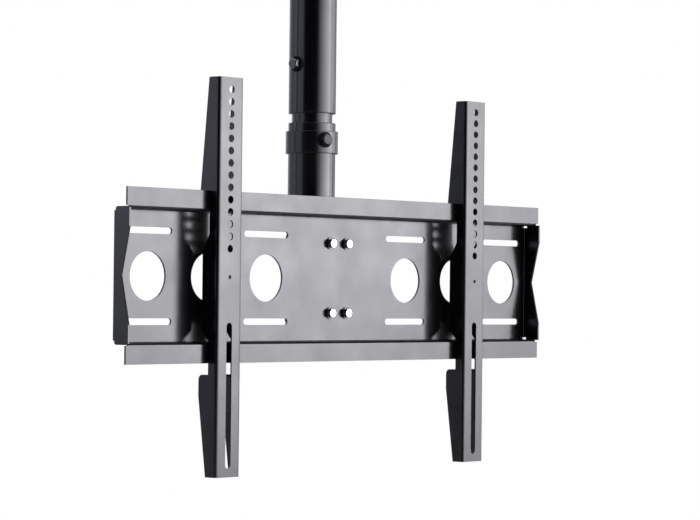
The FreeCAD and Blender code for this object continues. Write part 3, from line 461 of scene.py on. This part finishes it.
def weld_ring(radius, level, leg, puddles, around=368, section=12):
    """Section in the corner of tube and plate: a foot on each and a rounded face between them.

    The face bulges by leg x (crown + ripple x |sin(puddles x angle / 2)|), and each puddle leans after the
    last one.
    """
    angle = np.linspace(0, 2 * np.pi, around, endpoint=False)[:, None]
    across = np.linspace(0, 1, section)[None, :]
    lean = angle + WELD_LEAN * np.sin(np.pi * across)
    swell = WELD_CROWN + WELD_RIPPLE * np.abs(np.sin(puddles * lean / 2))
    bulge = leg * swell * np.sin(np.pi * across)
    out = radius - WELD_BITE + (leg + WELD_BITE) * (1 - across) + bulge * math.sqrt(0.5)
    down = -WELD_BITE + (leg + WELD_BITE) * across + bulge * math.sqrt(0.5)
    face = np.stack([out * np.cos(angle), out * np.sin(angle), level - down + 0 * angle], axis=2)
    hidden = np.stack([(radius - WELD_BITE) * np.cos(angle), (radius - WELD_BITE) * np.sin(angle),
                       level + WELD_BITE + 0 * angle], axis=2)
    return np.concatenate([face, hidden], axis=1)


plate_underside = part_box("ceiling_plate")[0][2]
weld_points = weld_ring(tube_radius, plate_underside, WELD_LEG, WELD_PUDDLES)
weld = mesh_from_grid("ceiling_weld", weld_points, ring=True)
weld.data.materials.append(powder_coat)
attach(weld, "ceiling")
print("weld under the ceiling plate:", len(weld.data.polygons), "faces")

# %% [markdown]
# ## Screw threads
#
# Behind their nuts the bolts end in a few turns of bare thread, which the CAD model leaves as plain pins.
# A thread is a tube whose radius depends on the angle and on the distance along the axis together: a
# ridge that climbs by one pitch in each turn. Reading the ridge from `distance / pitch - angle / turn`
# makes the helix by itself, and it closes without a seam, because one whole turn shifts it by one ridge.

# %% Thread shape
RIDGE_DEPTH, RIDGE_CUT, TIP_FADE = 0.30, 1.25, 0.8
THREAD_COVER = 0.03 * MM
THREAD_BITE = 0.3 * MM


def thread_grid(radius, length, pitch, around=40, rows_a_turn=12):
    """Radius = core + depth x the height of the ridge at (distance / pitch - angle / turn).

    The ridge is a triangle wave cut flat at its crest. It fades into the core at the bolt's tip, where the
    real bolt is bevelled. Depth, cut and fade are shares of the pitch and of the ridge. The grid runs
    along +Y from the origin.
    """
    rows = int(math.ceil(length / pitch * rows_a_turn)) + 1
    distance = np.linspace(0, length, rows)[:, None]
    angle = np.linspace(0, 2 * np.pi, around, endpoint=False)[None, :]
    ridge = 1 - np.abs(2 * ((distance / pitch - angle / (2 * np.pi)) % 1) - 1)
    fade = np.clip((length - distance) / (TIP_FADE * pitch), 0, 1)
    reach = radius + RIDGE_DEPTH * pitch * np.clip(RIDGE_CUT * ridge, 0, 1) * fade + THREAD_COVER
    return np.stack([reach * np.cos(angle), distance + 0 * angle, reach * np.sin(angle)], axis=2)


print("a 5 mm long thread of 1 mm pitch has", thread_grid(3 * MM, 5 * MM, 1 * MM).shape[0], "rows")

# %% [markdown]
# The four plate bolts point straight back, so their threads lie along Y. The pivot and lock bolts of the
# tilt joint lie along X, which is the same grid with two of its coordinates exchanged.

# %% Threads on the bolts
def back_of(node, axis):
    """How far a CAD piece reaches along +X (0), +Y (1) or +Z (2)."""
    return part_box(node)[1][axis]


def add_thread(name, grid, finish, body, flip):
    """One thread made an object that rides on its bolt's body."""
    made = mesh_from_grid(name, grid, flip=flip)
    made.data.materials.append(finish)
    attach(made, body)
    return made


nut_back, tip = back_of("plate_nuts", 1), back_of("plate_bolts", 1)
plate_thread = thread_grid(3.0 * MM, tip - nut_back + THREAD_BITE, 1.0 * MM)
for number, (side, rise) in enumerate(((-1, -1), (1, -1), (-1, 1), (1, 1)), start=1):
    place = np.array([side * bolt_across, nut_back - THREAD_BITE, bolt_level + rise * bolt_up])
    add_thread(f"plate_thread_{number}", plate_thread + place, bright_plating,
               "screen_plate", flip=True)

for joint_bolt, radius, pitch in (("tilt_pivot", 5.0 * MM, 1.5 * MM), ("tilt_lock", 4.0 * MM, 1.25 * MM)):
    middle = middle_of(f"{joint_bolt}_nut")
    nut_side, tip = back_of(f"{joint_bolt}_nut", 0), back_of(f"{joint_bolt}_bolt", 0)
    grid = thread_grid(radius, tip - nut_side + THREAD_BITE, pitch)[:, :, [1, 0, 2]]
    place = np.array([nut_side - THREAD_BITE, middle[1], middle[2]])
    add_thread(f"{joint_bolt}_thread", grid + place, blackened_steel, "head", flip=False)
print("threads show", round((back_of("plate_bolts", 1) - nut_back) / MM, 2), "mm behind the plate nuts")

# %% [markdown]
# ## The room that the steel reflects
#
# Black gloss paint is a dark mirror, so a product photographer lights it by choosing what it reflects.
# Here the front faces reflect a long strip light on the right, the left faces a pale wall, and the
# darkness behind the camera draws the black stripe down the pole. The strip is bright but narrow, so
# that it lights the steel no more than a plain room would. All of it is written as a world whose
# brightness depends on the direction: azimuth round the horizon and elevation above it.

# %% Directions in the world
world = bpy.data.worlds.new("studio")
world.use_nodes = True
bpy.context.scene.world = world
sky = world.node_tree
sky.nodes.clear()
way = sky.nodes.new("ShaderNodeSeparateXYZ")
sky.links.new(sky.nodes.new("ShaderNodeTexCoord").outputs["Generated"], way.inputs[0])
azimuth = maths(sky, "DEGREES", maths(sky, "ARCTAN2", way.outputs[1], way.outputs[0]))
elevation = maths(sky, "DEGREES", maths(sky, "ARCSINE", way.outputs[2]))


def profile(degrees, stops):
    """Brightness read off a list of (degrees, brightness), by straight lines between them."""
    peak = max(level for _, level in stops)
    made = sky.nodes.new("ShaderNodeValToRGB")
    ramp = made.color_ramp
    for place, _ in stops[1:-1]:
        ramp.elements.new((place + 180) / 360)
    for element, (place, level) in zip(ramp.elements, stops):
        element.position = (place + 180) / 360
        element.color = (level / peak, level / peak, level / peak, 1)
    sky.links.new(remap(sky, degrees, -180.0, 180.0, 0.0, 1.0), made.inputs[0])
    return maths(sky, "MULTIPLY", made.outputs["Color"], peak)


print("directions are worked out by", len(sky.nodes), "nodes")

# %% [markdown]
# The strip light stands between -112 and 20 degrees, at the height of the mount. Its brightness climbs to
# a peak at -42 degrees, which a dark gap follows at -36. The wall fills the other side. A product of two
# profiles, one for each angle, gives each source a soft-edged patch of the sky.

# %% Strip light, wall and glows
strip = maths(sky, "MULTIPLY",
              profile(azimuth, [(-112, 0), (-88, 5.6), (-66, 10.3), (-52, 11.6), (-42, 14.8), (-38.7, 14.8),
                                (-37.5, 1.5), (-35, 1.5), (-33.5, 7.4), (-22, 5.4), (0, 1.5), (20, 0)]),
              profile(elevation, [(-7.6, 0), (1.6, 1), (4.5, 0.78), (10, 0.72), (14, 0)]))
wall = maths(sky, "MULTIPLY",
             profile(azimuth, [(-10, 0), (30, 0.45), (48, 1.05), (72, 1.0), (92, 0.58), (106, 0.62),
                               (125, 0.85), (129, 1.45), (136.5, 1.45), (139, 0.15), (144.5, 0.15),
                               (148, 1.15), (175, 1.15), (179, 0)]),
             profile(elevation, [(-2.2, 0), (-0.2, 1), (35, 1), (70, 0)]))
ceiling_glow = profile(elevation, [(25, 0), (65, 0.75), (90, 0.75)])
low_glow = profile(elevation, [(-90, 0.35), (-45, 0.35), (-12, 0)])
print("four sources use", len(sky.nodes), "nodes")

# %% [markdown]
# Each source gets its colour, and Add Shader lays one over the other, because light adds up. The camera,
# and what is seen through holes or glass, sees plain white instead: that is the white background.

# %% The room put together
STRIP_COLOUR = (0.985, 0.985, 1.04)
WALL_COLOUR = (0.93, 0.96, 1.12)


def glow(strength, colour):
    """One Background of a colour whose strength is a pattern."""
    made = sky.nodes.new("ShaderNodeBackground")
    made.inputs["Color"].default_value = (*colour, 1)
    sky.links.new(strength, made.inputs["Strength"])
    return made.outputs[0]


def together(first, second):
    """Two sources at once."""
    made = sky.nodes.new("ShaderNodeAddShader")
    sky.links.new(first, made.inputs[0])
    sky.links.new(second, made.inputs[1])
    return made.outputs[0]


cool = together(glow(wall, WALL_COLOUR), glow(maths(sky, "ADD", ceiling_glow, low_glow), WALL_COLOUR))
room = together(glow(strip, STRIP_COLOUR), cool)
white = sky.nodes.new("ShaderNodeBackground")
white.inputs["Color"].default_value = (1, 1, 1, 1)
rays = sky.nodes.new("ShaderNodeLightPath")
seen = maths(sky, "MAXIMUM", rays.outputs["Is Camera Ray"], rays.outputs["Is Transmission Ray"])
choose = sky.nodes.new("ShaderNodeMixShader")
sky.links.new(seen, choose.inputs[0])
sky.links.new(room, choose.inputs[1])
sky.links.new(white.outputs[0], choose.inputs[2])
out = sky.nodes.new("ShaderNodeOutputWorld")
sky.links.new(choose.outputs[0], out.inputs["Surface"])
print("world has", len(sky.nodes), "nodes")

# %% [markdown]
# ## The floor
#
# The mount hangs, so the floor lies well below it and only catches its shadow. It is one round sheet
# worked out as a grid of radius and angle. Near the mount it is pale matt paper; further out it turns
# into the white of the background, so that no edge shows.

# %% Floor sheet
FLOOR_Z, FLOOR_RADIUS = -1.45, 6.5


def disc(radius, height, rings=48, spokes=96):
    """Point (i, j) lies at a distance that grows with the square of i, at the j-th angle."""
    reach = radius * np.linspace(0.002, 1, rings)[:, None] ** 2
    turn = np.linspace(0, 2 * np.pi, spokes, endpoint=False)[None, :]
    level = np.full(reach.shape, height) + 0 * turn
    return np.stack([reach * np.cos(turn), reach * np.sin(turn), level], axis=2)


floor = mesh_from_grid("floor", disc(FLOOR_RADIUS, FLOOR_Z), flip=True, open_end=True)
print("floor:", len(floor.data.polygons), "faces")

# %% [markdown]
# The paper is rough, with a little grain. How far a point lies from the middle tells how much of the
# background's white it takes, and only rays that look at it are told so: the light that it throws back
# on the steel stays that of grey paper.

# %% Floor paper
PAPER_DARK, PAPER_LIGHT = (0.80, 0.80, 0.80), (0.84, 0.84, 0.84)
FADE_START, FADE_END = 2.2, 5.8

paper, tree, shader, where = new_material("paper")
shader.inputs["Roughness"].default_value = 0.9
shader.inputs["Specular IOR Level"].default_value = 0.1
tree.links.new(blend_colours(tree, noise(tree, where, 6.0), PAPER_DARK, PAPER_LIGHT),
               shader.inputs["Base Color"])
tree.links.new(bump(tree, noise(tree, where, 160.0, 3.0), 0.2 * MM, 0.4), shader.inputs["Normal"])
away = add_node(tree, "VectorMath")
away.operation = "LENGTH"
tree.links.new(where, away.inputs[0])
fade = remap(tree, away.outputs["Value"], FADE_START, FADE_END, 0.0, 1.0, smooth=True)
path = tree.nodes.new("ShaderNodeLightPath").outputs
background = add_node(tree, "Emission", Color=(1, 1, 1, 1), Strength=1.0)
mirrored = maths(tree, "MAXIMUM", path["Is Glossy Ray"], path["Is Transmission Ray"])
looking = maths(tree, "MAXIMUM", path["Is Camera Ray"], mirrored)
seen_far = maths(tree, "MULTIPLY", fade, looking)
mixed = tree.nodes.new("ShaderNodeMixShader")
tree.links.new(seen_far, mixed.inputs[0])
tree.links.new(shader.outputs[0], mixed.inputs[1])
tree.links.new(background.outputs[0], mixed.inputs[2])
tree.links.new(mixed.outputs[0], tree.nodes["Material Output"].inputs["Surface"])
floor.data.materials.append(paper)
print("made", paper.name, "which turns white between", FADE_START, "and", FADE_END, "m")

# %% [markdown]
# ## The soft light above
#
# One large lamp hangs over the mount. It lights the floor to a pale grey and lays the mount's soft
# shadow on it.

# %% Overhead lamp
LAMP_LENGTH, LAMP_WIDTH, LAMP_WATTS = 2.2, 1.6, 26.0
LAMP_PLACE = (0.3, -0.4, 1.7)

lamp_data = bpy.data.lights.new("overhead", "AREA")
lamp_data.shape = "RECTANGLE"
lamp_data.size, lamp_data.size_y = LAMP_LENGTH, LAMP_WIDTH
lamp_data.energy = LAMP_WATTS
lamp = bpy.data.objects.new("overhead", lamp_data)
lamp.location = LAMP_PLACE
bpy.context.scene.collection.objects.link(lamp)
print("lamp of", LAMP_WATTS, "W hangs at", LAMP_PLACE)

# %% [markdown]
# ## The camera
#
# The camera's place, turn and focal length were worked out from straight edges measured in the
# photograph. It stands low and to the left, nearly level, with a long lens, which keeps the two arms
# almost parallel.

# %% Where the camera looks
CAMERA_PLACE = np.array([-2.42882, -2.21932, -0.56050])
CAMERA_YAW, CAMERA_PITCH, CAMERA_ROLL = 0.8457, 0.0138, 0.0109

level_ahead = np.array([math.sin(CAMERA_YAW), math.cos(CAMERA_YAW), 0])
level_right = np.array([math.cos(CAMERA_YAW), -math.sin(CAMERA_YAW), 0])
up = np.array([0, 0, 1.0])
ahead = math.cos(CAMERA_PITCH) * level_ahead + math.sin(CAMERA_PITCH) * up
above = -math.sin(CAMERA_PITCH) * level_ahead + math.cos(CAMERA_PITCH) * up
right = math.cos(CAMERA_ROLL) * level_right + math.sin(CAMERA_ROLL) * above
above = -math.sin(CAMERA_ROLL) * level_right + math.cos(CAMERA_ROLL) * above
print("the camera looks along", ahead.round(4))

# %% [markdown]
# A Blender camera looks along its own -Z with +Y up, so its matrix has the three directions as columns.
# The focal length was measured in pixels of a frame 700 wide, and the sensor's width makes it millimetres.

# %% Camera
FOCAL_PIXELS = 2591.27
FRAME_WIDTH, SENSOR_WIDTH = 700, 36.0

camera_data = bpy.data.cameras.new("camera")
camera_data.sensor_width = SENSOR_WIDTH
camera_data.lens = FOCAL_PIXELS / FRAME_WIDTH * SENSOR_WIDTH
camera_data.clip_start, camera_data.clip_end = 0.1, 60
camera = bpy.data.objects.new("camera", camera_data)
turned = np.eye(4)
turned[:3, 0], turned[:3, 1], turned[:3, 2], turned[:3, 3] = right, above, -ahead, CAMERA_PLACE
camera.matrix_world = Matrix(turned.tolist())
bpy.context.scene.collection.objects.link(camera)
bpy.context.scene.camera = camera
bpy.context.scene.view_settings.view_transform = "Standard"
print("lens", round(camera_data.lens, 2), "mm")
